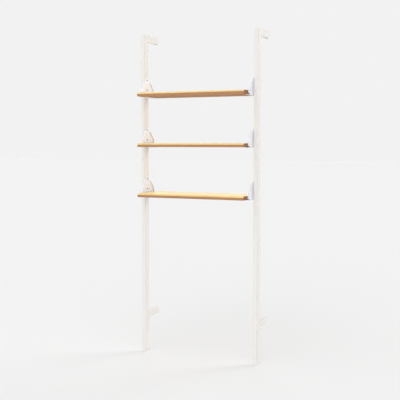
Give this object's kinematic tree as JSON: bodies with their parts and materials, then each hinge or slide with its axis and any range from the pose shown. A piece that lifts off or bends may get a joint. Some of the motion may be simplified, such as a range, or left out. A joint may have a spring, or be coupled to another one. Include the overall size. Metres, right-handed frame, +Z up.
{
  "type": "wall-braced ladder shelf",
  "caption": "Tall open shelf unit: tube uprights stand on the floor and brace back to the wall, with wooden shelves hung between them on folded steel brackets.",
  "frame": {"origin": "on the floor, in the middle of the overall width and depth", "axes": "+Z up, +Y back towards the wall, +X to the right seen from the front"},
  "size_m": [0.914, 0.356, 2.337],
  "materials": {
    "frame_paint": "matt off-white powder coat",
    "bracket_paint": "satin white powder coat",
    "shelf_wood": "clear satin lacquer over blonde oak",
    "foot_plastic": "matt off-white plastic",
    "cleat_metal": "bead-blasted",
    "screw_steel": "zinc plated",
    "insert_steel": "zinc plated",
    "wood_screw_steel": "zinc plated"
  },
  "bodies": {
    "root": {"left_upright": "frame_paint", "right_upright": "frame_paint", "top_left_arm": "frame_paint", "top_right_arm": "frame_paint", "bottom_left_arm": "frame_paint", "bottom_right_arm": "frame_paint", "left_foot_glide": "foot_plastic", "right_foot_glide": "foot_plastic", "top_left_wall_cleat": "cleat_metal", "top_right_wall_cleat": "cleat_metal", "bottom_left_wall_cleat": "cleat_metal", "bottom_right_wall_cleat": "cleat_metal", "cleat_screws": "screw_steel", "top_bracket_screws": "screw_steel", "middle_bracket_screws": "screw_steel", "bottom_bracket_screws": "screw_steel", "top_shelf": "shelf_wood", "middle_shelf": "shelf_wood", "bottom_shelf": "shelf_wood", "top_left_bracket": "bracket_paint", "top_right_bracket": "bracket_paint", "middle_left_bracket": "bracket_paint", "middle_right_bracket": "bracket_paint", "bottom_left_bracket": "bracket_paint", "bottom_right_bracket": "bracket_paint", "left_rivet_nuts": "insert_steel", "right_rivet_nuts": "insert_steel", "top_shelf_screws": "wood_screw_steel", "middle_shelf_screws": "wood_screw_steel", "bottom_shelf_screws": "wood_screw_steel"}
  },
  "joints": []
}
